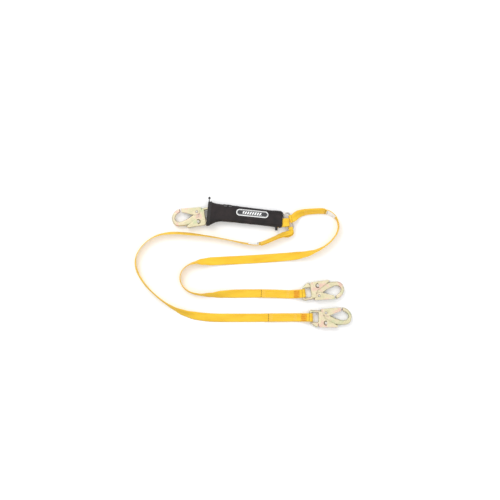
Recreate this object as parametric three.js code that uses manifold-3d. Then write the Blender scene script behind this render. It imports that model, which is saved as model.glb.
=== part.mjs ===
// Twin-leg shock absorbing lanyard for fall protection, lying flat. Millimetres, +Z up.
// X runs along the length of the laid-out lanyard, and z = 0 is the surface that it lies on.
import * as THREE from "three";
import { mergeVertices } from "three/addons/utils/BufferGeometryUtils.js";
import Module from "manifold-3d";

const wasm = await Module();
wasm.setup();

// ---- Driving dimensions ----

const GAP = 0.3; // between pieces that touch
const WEB_WIDTH = 25.4; // 1 inch polyester webbing
const WEB_THICK = 2.2;
const CORD_STEPS = 110; // along each leg

// Snap hook. Its own frame: x runs from the eye's outer end to the nose, +y is the gate side.
const HOOK_Z = 10; // height of the leg hooks' middle plane as they lie
const HARNESS_HOOK_Z = 12; // the sleeve's mouth holds this one up a little
const PLATE = 10; // thickness of the forged body
const GATE_OUT = 14; // width over the gate's cheeks
const GATE_IN = 10.6;
const LEVER_OUT = 17.4; // width over the lock lever's cheeks
const LEVER_IN = 14.4;
const GATE_PIVOT = [52, 14];
const LEVER_PIVOT = [52, -17];
const RIVET_R = 2.5;
const RIVET_HEAD_R = 4.2;
const RIVET_END = 9.9; // half length of the lever's rivet over its heads
const EYE_BAR = 4; // x of the eye bar's middle, which the webbing goes round
const LOOP_R = 6.3; // inside radius of a webbing loop round an eye bar
const SPRING_ROOM = 3.6; // depth of the recess in the body's face
const SPRING_R = 4.3; // of the coil's middle line
const SPRING_WIRE_R = 0.45;

// Where each hook's frame lies, and which way its x points, in degrees.
const LOWER_HOOK_AT = [141, -168];
const LOWER_HOOK_YAW = 0;
const UPPER_HOOK_AT = [119, -95.5];
const UPPER_HOOK_YAW = 8;
const HARNESS_HOOK_AT = [-147, 148.6];
const HARNESS_HOOK_YAW = 189;

// Connecting ring
const RING_WIRE_R = 2.5;
const RING_LENGTH = 57; // outside
const RING_WIDTH = 24;
const RING_CORNER_R = 8; // of the wire's middle line
const RING_Z = 13;
const RING_YAW = 17;
const RING_AT = [79.5, 124.6];
const RING_LOOP_R = 3.4; // inside radius of the tight webbing loop round the ring's side
const RING_SLACK_R = 6.2; // and of the slack loops, which lie askew on the wire

// Pack cover, from its harness end to its leg end
const PACK_START = [-170, 151];
const PACK_LENGTH = 232;
const PACK_YAW = -5.6;
const CLOTH = 1;

const YELLOW = 0xf6c63c;
const BLACK = 0x2a2624;

// ---- Solids ----

function toSolid(geometry) {
  const bare = geometry.clone();
  bare.deleteAttribute("normal");
  bare.deleteAttribute("uv");
  const merged = mergeVertices(bare, 1e-4);
  const mesh = new wasm.Mesh({
    numProp: 3,
    vertProperties: merged.getAttribute("position").array,
    triVerts: new Uint32Array(merged.index.array),
  });
  return new wasm.Manifold(mesh);
}

function toGeometry(solid) {
  const mesh = solid.getMesh();
  return new THREE.BufferGeometry()
    .setAttribute("position", new THREE.BufferAttribute(mesh.vertProperties, 3))
    .setIndex(new THREE.BufferAttribute(mesh.triVerts, 1));
}

function cut(geometry, ...tools) {
  const left = tools.reduce((solid, tool) => solid.subtract(toSolid(tool)), toSolid(geometry));
  return toGeometry(left);
}

// A plate of the given outline, centred on z = 0, with bevelled edges. Its ends lie inside the
// outline by the bevel, and grow makes it larger all round.
function plate(shape, thickness, bevel = 0, grow = 0) {
  const geometry = new THREE.ExtrudeGeometry(shape, {
    depth: thickness - 2 * bevel,
    bevelEnabled: bevel > 0,
    bevelThickness: bevel,
    bevelSize: bevel,
    bevelOffset: grow - bevel,
    bevelSegments: 1,
    curveSegments: 5,
  });
  return geometry.translate(0, 0, bevel - thickness / 2);
}

function outline(points) {
  return new THREE.Shape(points.map(([x, y]) => new THREE.Vector2(x, y)));
}

// A cylinder along z at a place in the hook's plane.
function peg([x, y], radius, low, high, sides = 16) {
  return new THREE.CylinderGeometry(radius, radius, high - low, sides)
    .rotateX(Math.PI / 2)
    .translate(x, y, (low + high) / 2);
}

function named(name, geometry, color, roughness, metalness) {
  const material = new THREE.MeshStandardMaterial({ color, roughness, metalness });
  const mesh = new THREE.Mesh(geometry, material);
  mesh.name = name;
  return mesh;
}

const steel = (name, geometry) => named(name, geometry, 0xdcd3ae, 0.35, 0.9);
const webbing = (name, geometry) => named(name, geometry, YELLOW, 0.85, 0);

// ---- Snap hook ----

// Body outline, from the eye round the gate boss, the bow, the nose and the spine.
const HOOK_OUTLINE = [
  [0, -9], [0, 15], [2, 20], [7, 22.5], [30, 22], [42, 20], [47, 22.4], [52, 23.5], [57, 22.2],
  [61, 17], [63.5, 10], [66.6, 5], [80, -2], [96.5, -7.5], [106, -9], [115, -6.5], [119.5, -1],
  [120, 5], [116.5, 12], [109, 17.5], [101.5, 21], [101.5, 30.6], [110, 29.2], [118, 24.6],
  [125, 17.5], [129.4, 9], [130, 0], [127, -12], [121.5, -18], [113, -21.5], [91.5, -22.5],
  [66, -22.5], [59, -24.3], [52, -25.3], [45, -24.3], [33, -22], [28.2, -26], [27.4, -29.4], [23, -30],
  [15, -25.5], [5, -17],
];
const EYE_OUTLINE = [
  [8, -13.4], [8, 14], [9, 14.9], [26.5, 14.9], [30, 11], [30, -10.5], [26.5, -14.4], [9, -14.4],
];
const GATE_OUTLINE = [
  [36, 25.4], [83, 29.4], [98, 30.6], [98, 19.6], [86, 15.5], [67, 7], [58, 4], [50, 4.5],
  [43, 8.5], [38, 16],
];
const GATE_SLOT = [
  [30, 23.2], [83, 27.7], [96.3, 28.8], [96.3, -10], [30, -10],
];
const LEVER_OUTLINE = [
  [29.4, -25.5], [33.5, -30], [88, -30], [88, -25], [74, -17], [60, -9], [49, -4], [44, 6], [41.5, 18],
  [29.4, 18],
];
const LEVER_SLOT = [
  [20, -31], [34.5, -31], [34.5, -28.3], [95, -28.3], [95, 30], [20, 30],
];

function hookBody() {
  const half = PLATE / 2;
  const bevel = 2;
  const eye = outline(EYE_OUTLINE);
  const flare = plate(eye, PLATE, bevel, bevel);
  return cut(
    plate(outline(HOOK_OUTLINE), PLATE, bevel),
    plate(eye, 2 * PLATE),
    flare.clone().translate(0, 0, PLATE - bevel),
    flare.clone().translate(0, 0, bevel - PLATE),
    peg(GATE_PIVOT, RIVET_R + GAP, -PLATE, PLATE),
    peg(LEVER_PIVOT, RIVET_R + GAP, -PLATE, PLATE),
    peg(GATE_PIVOT, 6, half - SPRING_ROOM, PLATE),
    peg(LEVER_PIVOT, 6, -PLATE, SPRING_ROOM - half),
  );
}

// A sheet-metal channel that straddles the body: a leaf with the body's room slotted out.
function channel(leaf, slot, outside, inside, pivot) {
  return cut(
    plate(outline(leaf), outside),
    plate(outline(slot), inside),
    peg(pivot, RIVET_R + GAP, -outside, outside),
  );
}

// A rivet along z: shank, and a domed head outside the cheeks at each end.
function rivet(cheek, end, collar) {
  const head = cheek + GAP;
  const side = [[0, end], [RIVET_HEAD_R * 0.7, end], [RIVET_HEAD_R, head + 0.5], [RIVET_HEAD_R, head]];
  const shank = [[RIVET_R, head], [RIVET_R, collar], [RIVET_HEAD_R, collar]];
  const inner = [[RIVET_HEAD_R, PLATE / 2 + GAP], [RIVET_R, PLATE / 2 + GAP]];
  const top = collar ? [...side, ...shank, ...inner] : [...side, [RIVET_R, head]];
  const bottom = top.map(([r, y]) => [r, -y]).reverse();
  const profile = [...top, ...bottom].reverse().map(([r, y]) => new THREE.Vector2(r, y));
  return new THREE.LatheGeometry(profile, 14).rotateX(Math.PI / 2);
}

// A torsion spring wound round a rivet, inside its room in the body's face.
function spring(side) {
  const turns = 2;
  const steps = 26;
  const floor = PLATE / 2 - SPRING_ROOM + GAP + SPRING_WIRE_R;
  const rise = SPRING_ROOM - 2 * SPRING_WIRE_R - GAP;
  const points = [];
  for (let i = 0; i <= steps; i++) {
    const angle = (i / steps) * turns * 2 * Math.PI;
    const z = floor + (rise * i) / steps;
    points.push(new THREE.Vector3(SPRING_R * Math.cos(angle), SPRING_R * Math.sin(angle), z));
  }
  const wire = new THREE.Shape().absarc(0, 0, SPRING_WIRE_R, 0, 2 * Math.PI);
  const coil = new THREE.ExtrudeGeometry(wire, {
    steps,
    curveSegments: 5,
    extrudePath: new THREE.CatmullRomCurve3(points),
  });
  return side > 0 ? coil : coil.rotateX(Math.PI);
}

// The seven pieces of one snap hook, placed at [x, y], z. A hook with its gate turned to the
// other side is rolled over about its own x first, and then turned by yaw.
function snapHook(prefix, at, z, yaw, rolled) {
  const hook = new THREE.Group();
  hook.position.set(...at, z);
  hook.rotation.set(rolled ? Math.PI : 0, 0, THREE.MathUtils.degToRad(yaw), "ZYX");
  const gateRivet = steel(`${prefix}_gate_rivet`, rivet(GATE_OUT / 2, 8.9, 0));
  gateRivet.position.set(...GATE_PIVOT, 0);
  const collar = LEVER_IN / 2 - GAP;
  const leverRivet = steel(`${prefix}_lever_rivet`, rivet(LEVER_OUT / 2, RIVET_END, collar));
  leverRivet.position.set(...LEVER_PIVOT, 0);
  const gateSpring = steel(`${prefix}_gate_spring`, spring(1));
  gateSpring.position.set(...GATE_PIVOT, 0);
  const leverSpring = steel(`${prefix}_lever_spring`, spring(-1));
  leverSpring.position.set(...LEVER_PIVOT, 0);
  hook.add(
    steel(`${prefix}_body`, hookBody()),
    steel(`${prefix}_gate`, channel(GATE_OUTLINE, GATE_SLOT, GATE_OUT, GATE_IN, GATE_PIVOT)),
    steel(`${prefix}_lock_lever`, channel(LEVER_OUTLINE, LEVER_SLOT, LEVER_OUT, LEVER_IN, LEVER_PIVOT)),
    gateRivet, leverRivet, gateSpring, leverSpring,
  );
  return hook;
}

// ---- Webbing ----

const UP = new THREE.Vector3(0, 0, 1);

function heading(degrees) {
  const angle = THREE.MathUtils.degToRad(degrees);
  return new THREE.Vector3(Math.cos(angle), Math.sin(angle), 0);
}

// A strip of webbing through stations, each with its middle point, the direction of its width,
// and its width.
class Strip {
  constructor(stations) {
    this.stations = stations;
    const points = stations.map((station) => station.centre);
    this.curve = new THREE.CatmullRomCurve3(points, false, "centripetal");
    this.curve.arcLengthDivisions = 600;
    this.length = this.curve.getLength();
  }

  // The strip's middle and directions at a distance from its start.
  frameAt(distance) {
    const t = this.curve.getUtoTmapping(0, distance);
    const last = this.stations.length - 1;
    const k = Math.min(Math.floor(t * last), last - 1);
    const [before, after] = [this.stations[k], this.stations[k + 1]];
    const share = THREE.MathUtils.smoothstep(t * last - k, 0, 1);
    const tangent = this.curve.getTangent(t);
    const across = before.across.clone().lerp(after.across, share);
    across.addScaledVector(tangent, -tangent.dot(across)).normalize();
    return {
      centre: this.curve.getPoint(t),
      across,
      up: tangent.clone().cross(across),
      width: THREE.MathUtils.lerp(before.width, after.width, share),
    };
  }

  // A closed band along the strip between two distances, raised off its middle by lift.
  band(from, to, steps, { thick = WEB_THICK, lift = 0, width = 1 } = {}) {
    const geometry = new THREE.BoxGeometry(1, 1, 1, steps, 1, 1);
    const position = geometry.getAttribute("position");
    for (let i = 0; i < position.count; i++) {
      const frame = this.frameAt(THREE.MathUtils.lerp(from, to, position.getX(i) + 0.5));
      const point = frame.centre
        .addScaledVector(frame.across, position.getY(i) * frame.width * width)
        .addScaledVector(frame.up, position.getZ(i) * thick + lift);
      position.setXYZ(i, point.x, point.y, point.z);
    }
    return geometry;
  }

  whole(steps, options) {
    return this.band(0, this.length, steps, options);
  }
}

// A leg's strip from its route: x, y, roll in degrees (0 flat, 90 on edge), the height of its
// lower edge, and its width.
function legStrip(route) {
  const flat = route.map(([x, y]) => new THREE.Vector3(x, y, 0));
  const plan = new THREE.CatmullRomCurve3(flat, false, "centripetal");
  return new Strip(
    route.map(([x, y, degrees, low, width = WEB_WIDTH], i) => {
      const roll = THREE.MathUtils.degToRad(degrees);
      const level = UP.clone().cross(plan.getTangent(i / (route.length - 1)));
      const half = (width / 2) * Math.sin(roll) + (WEB_THICK / 2) * Math.cos(roll);
      return {
        centre: new THREE.Vector3(x, y, low + half),
        across: level.multiplyScalar(Math.cos(roll)).addScaledVector(UP, Math.sin(roll)),
        width,
      };
    }),
  );
}

// Stations round a bar, from just before its top to its underside.
function roundBar([x, y], z, direction, radius, width) {
  const across = UP.clone().cross(direction);
  const middle = radius + WEB_THICK / 2;
  const station = (s, height) => ({
    centre: new THREE.Vector3(x, y, z + height).addScaledVector(direction, s),
    across,
    width,
  });
  const stations = [station(-2, middle)];
  for (let angle = 90; angle >= -90; angle -= 30) {
    const turn = THREE.MathUtils.degToRad(angle);
    stations.push(station(middle * Math.cos(turn), middle * Math.sin(turn)));
  }
  return stations;
}

// Stations of the tail under one end of a strip, from the bar that it went round: it closes up
// to the strap over the throat's length, and then lies sewn against it.
function underside(strip, atStart, radius, throat, tail) {
  const apart = 2 * radius + WEB_THICK;
  const sewn = WEB_THICK + (atStart ? 1.2 : GAP);
  const stations = [];
  for (let run = 8; run <= tail; run += 9) {
    const frame = strip.frameAt(atStart ? run : strip.length - run);
    const offset = THREE.MathUtils.lerp(apart, sewn, Math.min(run / throat, 1));
    frame.centre.addScaledVector(frame.up, -offset);
    frame.across.multiplyScalar(atStart ? -1 : 1);
    stations.push(frame);
  }
  return stations;
}

// ---- Legs ----

const FLAT = 1;
const DOUBLED = FLAT + WEB_THICK + GAP; // height of a strap that lies on its own tail
const OVER_EYE = HOOK_Z + LOOP_R; // height of a strap over an eye bar
const OVER_RING = RING_Z + RING_LOOP_R;
const OVER_CORNER = RING_Z + RING_SLACK_R;
const NARROW = 12; // webbing bunched where it goes round the ring's end
const BROAD = 21; // and where it goes round the ring's side

const LOWER_LEG_ROUTE = [
  [87.7, 97.45, 0, OVER_CORNER, NARROW], [88.5, 94, 4, OVER_CORNER - 0.6, 12.5],
  [85, 90.6, 14, 16.6, 14], [78, 88.6, 34, 11, 17.5], [67, 86.2, 50, 5.5, 22], [55, 82.2, 60, 3.5],
  [38, 74.8, 66, 3], [14, 64.2, 66, 3], [-7, 56.8, 66, 2.8],
  [-24, 55, 72, 1.5], [-51, 57.4, 78, FLAT], [-103, 68, 84, FLAT], [-163, 79, 80, FLAT],
  [-227, 87, 70, FLAT], [-279, 89, 70, FLAT], [-314, 84, 78, FLAT], [-344, 70, 84, FLAT],
  [-369, 47, 84, FLAT], [-384, 21, 82, FLAT], [-387, -2, 78, FLAT], [-382, -27, 76, FLAT],
  [-362, -62, 78, FLAT], [-335, -92, 82, FLAT], [-300, -121, 80, FLAT], [-270, -140, 68, FLAT],
  [-236, -155, 45, FLAT], [-197, -164, 18, FLAT], [-150, -168.5, 2, FLAT], [-99, -169, 0, FLAT],
  [-20, -169, 0, FLAT], [0, -168.8, 0, 0.8], [16, -168.6, 0, DOUBLED], [60, -168.3, 0, DOUBLED],
  [104, -168, 0, DOUBLED], [116, -168, 0, 6], [127, -168, 0, 12.6], [135, -168, 0, OVER_EYE],
  [142.6, -168, 0, OVER_EYE],
];

const UPPER_LEG_ROUTE = [
  [89.4, 132.85, 0, OVER_RING, BROAD], [95.4, 134.7, 6, OVER_RING - 2, 21.5],
  [102, 140.3, 22, 9, 22.5], [109, 145.2, 36, 5.5, 24], [120, 149.8, 46, 4],
  [138, 152.9, 56, 3.2], [160, 154.6, 58, 3.2], [182, 155.2, 58, 3.2],
  [197, 153.2, 62, 2.5], [208, 149, 68, 1.5], [220, 140.6, 76, FLAT], [229, 126, 85, FLAT],
  [232, 108, 85, FLAT], [227, 89, 85, FLAT], [214, 70, 85, FLAT], [193, 51, 82, FLAT],
  [166, 36, 70, FLAT], [134, 25.5, 45, FLAT], [94, 19, 15, FLAT], [50, 15, 2, FLAT],
  [9, 12, 0, FLAT], [-77, 7, 0, FLAT], [-150, 3.5, 12, FLAT], [-182, 1.5, 40, FLAT],
  [-207, -1.5, 72, FLAT], [-229, -10, 85, FLAT], [-246, -27, 85, FLAT], [-251.5, -50, 85, FLAT],
  [-243, -73, 85, FLAT], [-223, -90, 84, FLAT], [-193, -98.5, 78, FLAT], [-158, -99.5, 60, FLAT],
  [-118, -97, 30, FLAT], [-72, -95.5, 6, FLAT], [-40, -95, 0, FLAT], [-24, -95, 0, 0.8],
  [-9, -95, 0, DOUBLED], [40, -96, 0, DOUBLED], [82, -97.6, 0, DOUBLED], [94, -97.1, 0, 6],
  [105, -96.7, 0, 12.6], [113, -96, 0, OVER_EYE], [120.6, -95.2, 0, OVER_EYE],
];

const RING_TAIL = 108; // sewn overlap behind the ring
const HOOK_TAIL = 128; // sewn overlap behind a hook
const TAG_LENGTH = 32;
const TAG_THICK = 0.8;

// A place in the plan: so far along x and y of a frame that lies at [x, y], turned by yaw.
function placed([x, y], yaw, along, across) {
  const out = heading(yaw).multiplyScalar(along).addScaledVector(heading(yaw + 90), across);
  return [x + out.x, y + out.y];
}

// One leg: its strap, the folded end round the ring, the folded end round the hook's eye bar,
// and the tag. An end is the bar that it goes round, its direction there, the loop's inside
// radius and its width.
function leg(name, route, ringEye, hookEye) {
  const strap = legStrip(route);
  const ringEnd = new Strip([
    ...roundBar(ringEye.bar, RING_Z, heading(ringEye.direction), ringEye.radius, ringEye.width),
    ...underside(strap, true, ringEye.radius, 36, RING_TAIL),
  ]);
  const hookEnd = new Strip([
    ...roundBar(hookEye.bar, HOOK_Z, heading(hookEye.direction), LOOP_R, WEB_WIDTH),
    ...underside(strap, false, LOOP_R, 36, HOOK_TAIL),
  ]);
  const tag = strap.band(RING_TAIL + 4, RING_TAIL + 4 + TAG_LENGTH, 14, {
    thick: TAG_THICK,
    lift: (WEB_THICK + TAG_THICK) / 2 + 1.7,
    width: 0.86,
  });
  return [
    webbing(`${name}_leg_strap`, strap.whole(CORD_STEPS)),
    webbing(`${name}_leg_ring_end`, ringEnd.whole(28)),
    webbing(`${name}_leg_hook_end`, hookEnd.whole(26)),
    named(`${name}_leg_tag`, tag, 0xf2f0ea, 0.6, 0),
  ];
}

// ---- Connecting ring ----

// An oblong ring: a torus whose quarters are moved apart by straight runs of wire.
function ring() {
  const torus = new THREE.TorusGeometry(RING_CORNER_R, RING_WIRE_R, 10, 32);
  const position = torus.getAttribute("position");
  const runX = RING_WIDTH / 2 - RING_WIRE_R - RING_CORNER_R;
  const runY = RING_LENGTH / 2 - RING_WIRE_R - RING_CORNER_R;
  const away = (value) => (Math.abs(value) < 1e-3 ? 0 : Math.sign(value));
  for (let i = 0; i < position.count; i++) {
    position.setX(i, position.getX(i) + runX * away(position.getX(i)));
    position.setY(i, position.getY(i) + runY * away(position.getY(i)));
  }
  return torus;
}

// ---- Pack ----
// Its own frame: x runs along the pack from the harness end, y across it, z up.

// Sleeve sections: x, distance of the upper and of the lower long edge, bottom and top.
const COVER_SECTIONS = [
  [2, 33, 38, 2.4, 35], [13, 34, 37.5, 2.4, 35], [18, 32.5, 33, 0, 32], [30, 31.5, 25, 0, 29],
  [46, 32, 21.5, 0, 28], [68, 31.6, 21.5, 0, 28], [90, 31, 22, 0, 28], [111, 30, 24.5, 0, 28],
  [130, 29, 25, 0, 28], [150, 28.2, 24.5, 0, 28], [172, 27, 24, 0, 27.5], [194, 26.6, 24, 0, 26],
  [216, 29, 26.5, 0, 25], [PACK_LENGTH, 25.5, 25, 0, 24],
];

// The sleeve's outer form as a closed solid, larger all round by grow and longer by extra.
function coverForm(grow, extra = 0) {
  const squareness = 0.46;
  const rows = COVER_SECTIONS.length - 1;
  const form = new THREE.CylinderGeometry(1, 1, 1, 24, rows).rotateZ(-Math.PI / 2);
  const position = form.getAttribute("position");
  const rounded = (value) => Math.sign(value) * Math.abs(value) ** squareness;
  for (let i = 0; i < position.count; i++) {
    const share = position.getX(i) + 0.5;
    const [x, upper, lower, bottom, top] = COVER_SECTIONS[Math.round(share * rows)];
    const end = share < 0.01 ? -extra : share > 0.99 ? extra : 0;
    const reach = (upper + lower) / 2 + grow;
    const rise = (top - bottom) / 2 + grow;
    const y = (upper - lower) / 2 + reach * rounded(position.getY(i));
    const z = (bottom + top) / 2 + rise * rounded(position.getZ(i));
    position.setXYZ(i, x + end, y, z);
  }
  return form;
}

function block([x1, y1, z1], [x2, y2, z2]) {
  return new THREE.BoxGeometry(x2 - x1, y2 - y1, z2 - z1).translate(
    (x1 + x2) / 2,
    (y1 + y2) / 2,
    (z1 + z2) / 2,
  );
}

// A skin on the sleeve, of the given thickness, where it lies inside the region.
function skin(thick, region) {
  const shell = toSolid(coverForm(GAP + thick)).subtract(toSolid(coverForm(GAP, 1)));
  return toGeometry(shell.intersect(toSolid(region)));
}

function labelRegion() {
  const [length, width] = [98, 20];
  const shape = new THREE.Shape();
  shape.absarc(width / 2 - length / 2, 0, width / 2, Math.PI / 2, (3 * Math.PI) / 2);
  shape.absarc(length / 2 - width / 2, 0, width / 2, -Math.PI / 2, Math.PI / 2);
  return new THREE.ExtrudeGeometry(shape, { depth: 20, bevelEnabled: false, curveSegments: 8 })
    .translate(138.6, 10.4, 20);
}

// The strap over the tear webbing, through points along and above the pack.
function backupStrap(points, y) {
  const across = new THREE.Vector3(0, 1, 0);
  const stations = points.map(([x, z]) => ({
    centre: new THREE.Vector3(x, y, z),
    across,
    width: WEB_WIDTH,
  }));
  return new Strip(stations).whole(8);
}

// Tear webbing folded to and fro: a stack of runs, parted by slots that each stop short of the
// fold at one end.
function foldedWebbing(left, right, low, runs) {
  const between = 0.4;
  const pitch = WEB_THICK + between;
  const [near, far] = [-13, 21];
  const slots = [];
  for (let run = 1; run < runs; run++) {
    const top = low + run * pitch;
    const start = run % 2 ? left - 1 : left + WEB_THICK;
    const end = run % 2 ? right - WEB_THICK : right + 1;
    slots.push(block([start, near - 1, top - between], [end, far + 1, top]));
  }
  return cut(block([left, near, low], [right, far, low + runs * pitch - between]), ...slots);
}

function pack() {
  const group = new THREE.Group();
  const black = (name, geometry) => named(name, geometry, BLACK, 0.9, 0);
  const sleeve = cut(coverForm(0), coverForm(-CLOTH, 1));
  const knot = new THREE.SphereGeometry(4, 14, 10).translate(4, 45, 22);
  const cord = new THREE.CylinderGeometry(1.4, 1.4, 4.2, 8).translate(4, 38.6, 22);
  group.add(
    black("pack_cover", sleeve),
    black("cover_hem", skin(1.4, block([2.5, -60, 0], [13, 60, 60]))),
    black("closure_flap", skin(1.2, block([48, 22.4, 7], [227, 60, 60]))),
    named("cover_label", skin(0.8, labelRegion()), 0xf4f3ef, 0.5, 0),
    black("side_tab", block([212, -33, 11.4], [220, -27.4, 13])),
    black("hem_drawcord", cord),
    black("drawcord_knot", knot),
    webbing("tear_webbing", foldedWebbing(70, 180, 5.5, 6)),
    webbing("backup_strap", backupStrap([[68, 22.6], [100, 23.4], [150, 23.4], [184, 22.6]], 4)),
  );
  return group;
}

// The absorber's two end loops: out from the sleeve's middle, round a bar, and back.
function absorberLoop(name, bar, z, degrees, radius, run) {
  const direction = heading(degrees);
  const stations = roundBar(bar, z, direction, radius, WEB_WIDTH);
  const back = (s, height) => ({
    centre: new THREE.Vector3(bar[0], bar[1], height).addScaledVector(direction, s),
    across: stations[0].across,
    width: WEB_WIDTH,
  });
  const middle = radius + WEB_THICK / 2;
  const start = [back(-run, 13), back(-run + 12, 13.4), back(-12, z + middle - 1)];
  const end = [back(-12, z - middle + 0.6), back(-run + 12, 9.8), back(-run, 10)];
  return webbing(name, new Strip([...start, ...stations, ...end]).whole(30));
}

// ---- Assembly ----

const part = new THREE.Group();

const connectingRing = steel("connecting_ring", ring());
connectingRing.position.set(...RING_AT, RING_Z);
connectingRing.rotation.z = THREE.MathUtils.degToRad(RING_YAW);

const packGroup = pack();
packGroup.position.set(...PACK_START, 0);
packGroup.rotation.z = THREE.MathUtils.degToRad(PACK_YAW);

// The bars that the webbing goes round: the ring's two sides and its lower end, and the eyes.
const RING_SIDE = RING_WIDTH / 2 - RING_WIRE_R;
const RING_END = RING_LENGTH / 2 - RING_WIRE_R;
const nearSide = placed(RING_AT, RING_YAW, -RING_SIDE, -1);
const farSide = placed(RING_AT, RING_YAW, RING_SIDE, 5);
const lowEnd = placed(RING_AT, RING_YAW, 0, -RING_END);
const harnessEye = placed(HARNESS_HOOK_AT, HARNESS_HOOK_YAW, EYE_BAR, 0);
const lowerEye = placed(LOWER_HOOK_AT, LOWER_HOOK_YAW, EYE_BAR, 0);
const upperEye = placed(UPPER_HOOK_AT, UPPER_HOOK_YAW, EYE_BAR, 0);

part.add(connectingRing, packGroup);
part.add(snapHook("lower_hook", LOWER_HOOK_AT, HOOK_Z, LOWER_HOOK_YAW, false));
part.add(snapHook("upper_hook", UPPER_HOOK_AT, HOOK_Z, UPPER_HOOK_YAW, true));
part.add(snapHook("harness_hook", HARNESS_HOOK_AT, HARNESS_HOOK_Z, HARNESS_HOOK_YAW, true));
part.add(absorberLoop("harness_loop", harnessEye, HARNESS_HOOK_Z, 185, LOOP_R, 42));
part.add(absorberLoop("ring_loop", nearSide, RING_Z, 4, RING_SLACK_R, 26));
part.add(
  ...leg(
    "lower",
    LOWER_LEG_ROUTE,
    { bar: lowEnd, direction: 104, radius: RING_SLACK_R, width: NARROW },
    { bar: lowerEye, direction: 0 },
  ),
  ...leg(
    "upper",
    UPPER_LEG_ROUTE,
    { bar: farSide, direction: 197, radius: RING_LOOP_R, width: BROAD },
    { bar: upperEye, direction: 6 },
  ),
);

export default part;
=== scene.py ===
# Twin-leg shock absorbing lanyard, laid flat: the visual model over its CAD frame. Metres.
import math

import bmesh
import bpy
from mathutils import Matrix, Vector, noise
from mathutils.bvhtree import BVHTree


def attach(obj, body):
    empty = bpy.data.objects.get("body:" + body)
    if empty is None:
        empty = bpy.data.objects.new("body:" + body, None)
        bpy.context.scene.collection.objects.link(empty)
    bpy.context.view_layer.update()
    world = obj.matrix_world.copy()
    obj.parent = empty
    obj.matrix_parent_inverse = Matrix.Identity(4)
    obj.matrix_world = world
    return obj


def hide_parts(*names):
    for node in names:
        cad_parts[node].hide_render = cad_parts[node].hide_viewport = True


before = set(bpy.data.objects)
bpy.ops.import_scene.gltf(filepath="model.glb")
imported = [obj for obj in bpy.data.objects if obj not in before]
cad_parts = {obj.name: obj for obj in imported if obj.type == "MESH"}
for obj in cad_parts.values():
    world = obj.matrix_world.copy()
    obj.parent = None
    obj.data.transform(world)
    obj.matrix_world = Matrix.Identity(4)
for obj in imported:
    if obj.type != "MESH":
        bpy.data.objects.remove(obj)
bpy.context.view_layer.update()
ROOT = "pack_and_legs"
MM = 0.001
UP = Vector((0, 0, 1))

WEB_WIDTH = 25.4 * MM
WEB_THICK = 2.2 * MM
HOOK_Z = 10 * MM
HARNESS_HOOK_Z = 12 * MM
RING_Z = 13 * MM
LOOP_R = 6.3 * MM  # inside radius of a webbing loop round an eye bar
RING_LOOP_R = 3.4 * MM
RING_SLACK_R = 6.2 * MM
THROAT = 36 * MM  # over which a folded end closes up to its strap
RING_TAIL = 108 * MM  # the sewn tail at the ring end of each leg
HOOK_TAIL = 128 * MM  # and at its hook end
PACK_TURN = 5.6  # degrees that the pack is turned clockwise

# Where the webbing turns back: at the ring's two sides, its lower end and the eyes.
RING_NEAR_SIDE = (0.0745, 0.1212)
RING_FAR_SIDE = (0.0871, 0.1322)
RING_LOW_END = (0.0871, 0.0997)
HARNESS_EYE = (-0.151, 0.148)
LOWER_EYE = (0.145, -0.168)
UPPER_EYE = (0.123, -0.0949)


# ---- Camera and light ----

def add_camera():
    """Looks straight down, a little from the near side, at the middle of the laid-out legs."""
    target = Vector((-0.038, 0.038, 0))
    view_width = 1.53
    lens = 85
    sensor = 36
    elevation = math.radians(87)
    distance = view_width * lens / sensor
    data = bpy.data.cameras.new("camera")
    data.lens = lens
    data.sensor_width = sensor
    camera = bpy.data.objects.new("camera", data)
    bpy.context.collection.objects.link(camera)
    back = Vector((0, -math.cos(elevation), math.sin(elevation)))
    camera.location = target + back * distance
    camera.rotation_euler = (math.pi / 2 - elevation, 0, 0)
    bpy.context.scene.camera = camera


def add_light(name, location, size, power):
    data = bpy.data.lights.new(name, "AREA")
    data.shape = "SQUARE"
    data.size = size
    data.energy = power
    light = bpy.data.objects.new(name, data)
    bpy.context.collection.objects.link(light)
    light.location = location
    light.rotation_euler = (-light.location).to_track_quat("-Z", "Y").to_euler()


def add_surroundings():
    """A pale floor, three soft lights and a pale sky."""
    bpy.ops.mesh.primitive_plane_add(size=14, location=(0, 0, 0))
    floor = bpy.context.object
    floor.name = "floor"
    floor.data.materials.append(floor_material())
    add_light("key", (-1.3, 1.7, 2.3), 1.7, 40)
    add_light("fill", (1.8, -1.0, 2.2), 2.2, 16)
    add_light("top", (0.1, 0.1, 3.4), 3.0, 26)
    world = bpy.data.worlds.new("studio")
    world.use_nodes = True
    background = world.node_tree.nodes["Background"]
    background.inputs["Color"].default_value = (0.97, 0.98, 1, 1)
    background.inputs["Strength"].default_value = 0.74
    bpy.context.scene.world = world
    bpy.context.scene.view_settings.view_transform = "Standard"


# ---- Materials ----

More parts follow.
